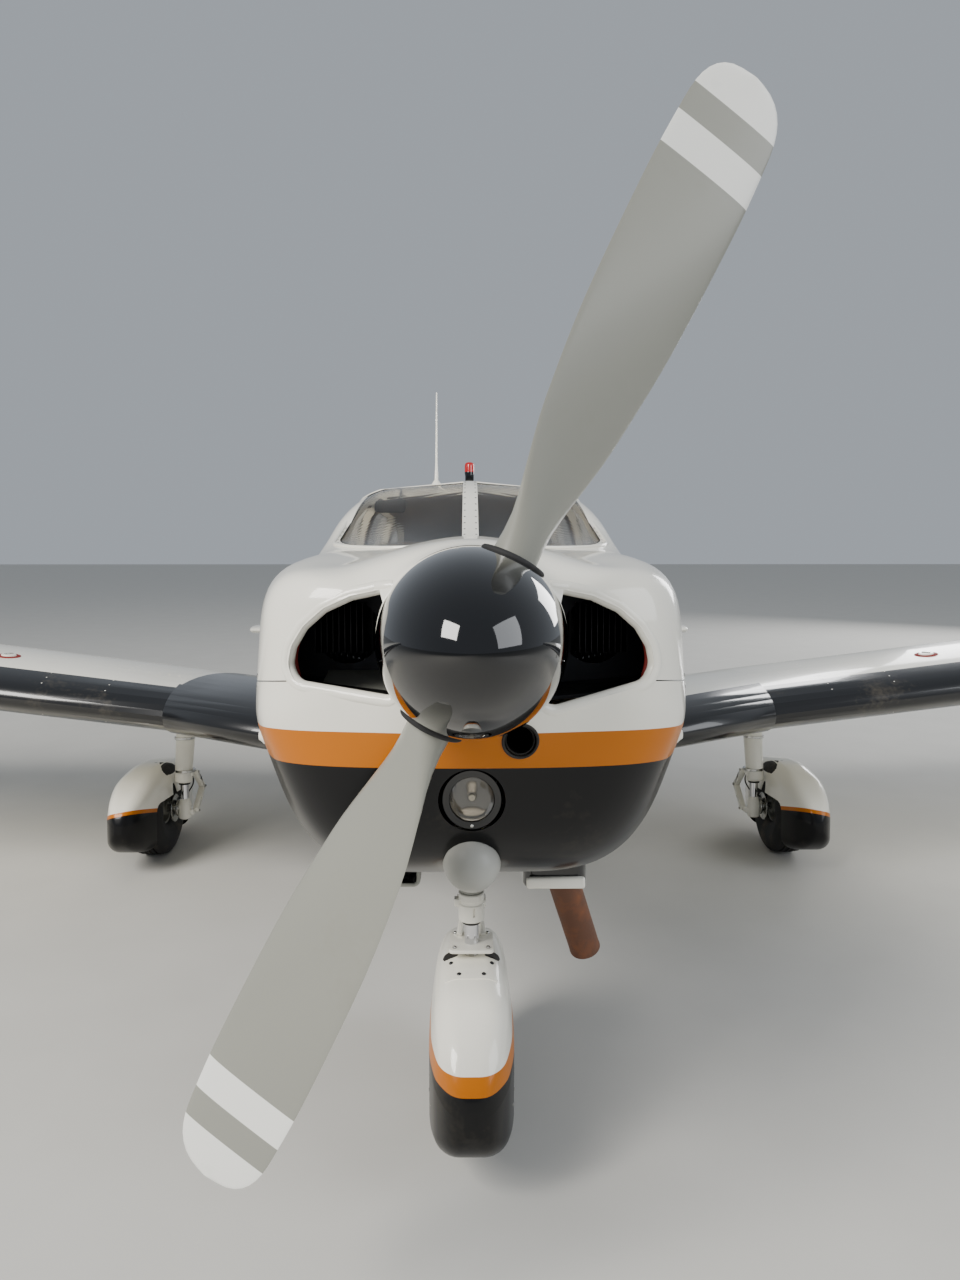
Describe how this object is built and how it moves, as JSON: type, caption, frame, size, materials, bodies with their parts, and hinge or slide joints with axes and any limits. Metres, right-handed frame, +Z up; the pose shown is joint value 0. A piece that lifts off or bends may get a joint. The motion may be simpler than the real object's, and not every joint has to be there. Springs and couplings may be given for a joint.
{
  "type": "light aircraft",
  "caption": "Low-wing light aircraft with a spinning propeller, faired steerable nose wheel, working flaps, ailerons, rudder and tailplane, and opening doors.",
  "frame": {"origin": "on the floor under the middle of the aircraft's overall box", "axes": "+Z up, the nose points along -Y, +X is the aircraft's left wing"},
  "size_m": [10.79, 7.5836, 2.267],
  "materials": {
    "white_skin": "gloss",
    "black_skin": "gloss",
    "grey_paint": "satin",
    "bare_steel": "satin",
    "engine_metal": "matte",
    "exhaust_steel": "matte",
    "tyre_rubber": "matte",
    "clear_panes": "gloss",
    "red_lens": "gloss",
    "seat_leather": "satin",
    "dark_trim": "matte"
  },
  "bodies": {
    "airframe": {"cowl_top": "white_skin", "cowl_bottom": "black_skin", "engine_block": "engine_metal", "landing_light": "bare_steel", "exhaust_pipe": "exhaust_steel", "cabin_shell": "white_skin", "windshield_left": "clear_panes", "windshield_right": "clear_panes", "window_left_front": "clear_panes", "window_left_middle": "clear_panes", "window_left_rear": "clear_panes", "window_right_middle": "clear_panes", "window_right_rear": "clear_panes", "tail_cone": "white_skin", "wing_left": "white_skin", "wing_right": "white_skin", "fin": "white_skin", "instrument_panel": "dark_trim", "yoke_left": "dark_trim", "yoke_right": "dark_trim", "seat_front_left": "seat_leather", "seat_front_right": "seat_leather", "seat_rear_left": "seat_leather", "seat_rear_right": "seat_leather", "antenna": "white_skin", "beacon": "red_lens", "pitot_mast": "grey_paint", "boarding_step": "grey_paint", "tail_tie_down": "grey_paint", "main_leg_left": "white_skin", "main_leg_right": "white_skin", "main_fairing_left": "white_skin", "main_fairing_right": "white_skin", "nose_leg_fairing": "white_skin", "nose_leg_housing": "grey_paint"},
    "propeller_unit": {"spinner": "black_skin", "propeller": "grey_paint"},
    "nose_steering": {"nose_leg": "white_skin", "nose_fairing": "white_skin"},
    "nose_wheel": {"nose_tyre": "tyre_rubber", "nose_rim": "bare_steel"},
    "main_wheel_left": {"main_tyre_left": "tyre_rubber", "main_rim_left": "bare_steel"},
    "main_wheel_right": {"main_tyre_right": "tyre_rubber", "main_rim_right": "bare_steel"},
    "left_flap": {"flap_left": "white_skin"},
    "right_flap": {"flap_right": "white_skin"},
    "left_aileron": {"aileron_left": "white_skin"},
    "right_aileron": {"aileron_right": "white_skin"},
    "rudder_body": {"rudder": "white_skin"},
    "tailplane": {"stabilator": "white_skin"},
    "servo_tab": {"anti_servo_tab": "white_skin"},
    "door": {"cabin_door": "white_skin", "window_door": "clear_panes"},
    "baggage_hatch": {"baggage_door": "white_skin"}
  },
  "joints": [
    {"name": "propeller_spin", "type": "hinge", "parent": "airframe", "child": "propeller_unit", "pos_m": [0, -3.54212, 1.33626], "axis": [0, -0.9986, 0.0523], "continuous": true},
    {"name": "nose_steer", "type": "hinge", "parent": "airframe", "child": "nose_steering", "pos_m": [0, -2.84212, 0.66], "axis": [0, 0, 1], "range_deg": [-30, 30]},
    {"name": "nose_wheel_roll", "type": "hinge", "parent": "nose_steering", "child": "nose_wheel", "pos_m": [0, -2.80712, 0.18], "axis": [1, 0, 0], "continuous": true},
    {"name": "main_wheel_left_roll", "type": "hinge", "parent": "airframe", "child": "main_wheel_left", "pos_m": [1.525, -0.77665, 0.222], "axis": [1, 0, 0], "continuous": true},
    {"name": "main_wheel_right_roll", "type": "hinge", "parent": "airframe", "child": "main_wheel_right", "pos_m": [-1.525, -0.77665, 0.222], "axis": [1, 0, 0], "continuous": true},
    {"name": "flap_left_hinge", "type": "hinge", "parent": "airframe", "child": "left_flap", "pos_m": [1.665, -0.27634, 0.7778], "axis": [-0.9925, -0.0271, -0.1194], "range_deg": [0, 40]},
    {"name": "flap_right_hinge", "type": "hinge", "parent": "airframe", "child": "right_flap", "pos_m": [-1.665, -0.27634, 0.7778], "axis": [-0.9925, 0.0271, 0.1194], "range_deg": [0, 40]},
    {"name": "aileron_left_hinge", "type": "hinge", "parent": "airframe", "child": "left_aileron", "pos_m": [3.8475, -0.31038, 1.04376], "axis": [0.9901, -0.0673, 0.1232], "range_deg": [-15, 30]},
    {"name": "aileron_right_hinge", "type": "hinge", "parent": "airframe", "child": "right_aileron", "pos_m": [-3.8475, -0.31038, 1.04376], "axis": [0.9901, 0.0673, -0.1232], "range_deg": [-15, 30]},
    {"name": "rudder_hinge", "type": "hinge", "parent": "airframe", "child": "rudder_body", "pos_m": [0, 3.32104, 1.4272], "axis": [0, 0.2638, 0.9646], "range_deg": [-27, 27]},
    {"name": "tailplane_hinge", "type": "hinge", "parent": "airframe", "child": "tailplane", "pos_m": [0, 2.99528, 0.73329], "axis": [1, 0, 0], "range_deg": [-2, 14]},
    {"name": "servo_tab_hinge", "type": "hinge", "parent": "tailplane", "child": "servo_tab", "pos_m": [0, 3.42309, 0.71087], "axis": [1, 0, 0], "range_deg": [-2, 13]},
    {"name": "cabin_door_hinge", "type": "hinge", "parent": "airframe", "child": "door", "pos_m": [-0.568, -1.58029, 1.24346], "axis": [0, 0.0523, 0.9986], "range_deg": [0, 75]},
    {"name": "baggage_door_hinge", "type": "hinge", "parent": "airframe", "child": "baggage_hatch", "pos_m": [-0.552, 0.19004, 1.05054], "axis": [0, 0.0523, 0.9986], "range_deg": [0, 100]}
  ],
  "couplings": [
    {"joint": "flap_right_hinge", "follows": "flap_left_hinge", "ratio": 1},
    {"joint": "rudder_hinge", "follows": "nose_steer", "ratio": -0.9},
    {"joint": "servo_tab_hinge", "follows": "tailplane_hinge", "ratio": 0.9}
  ]
}
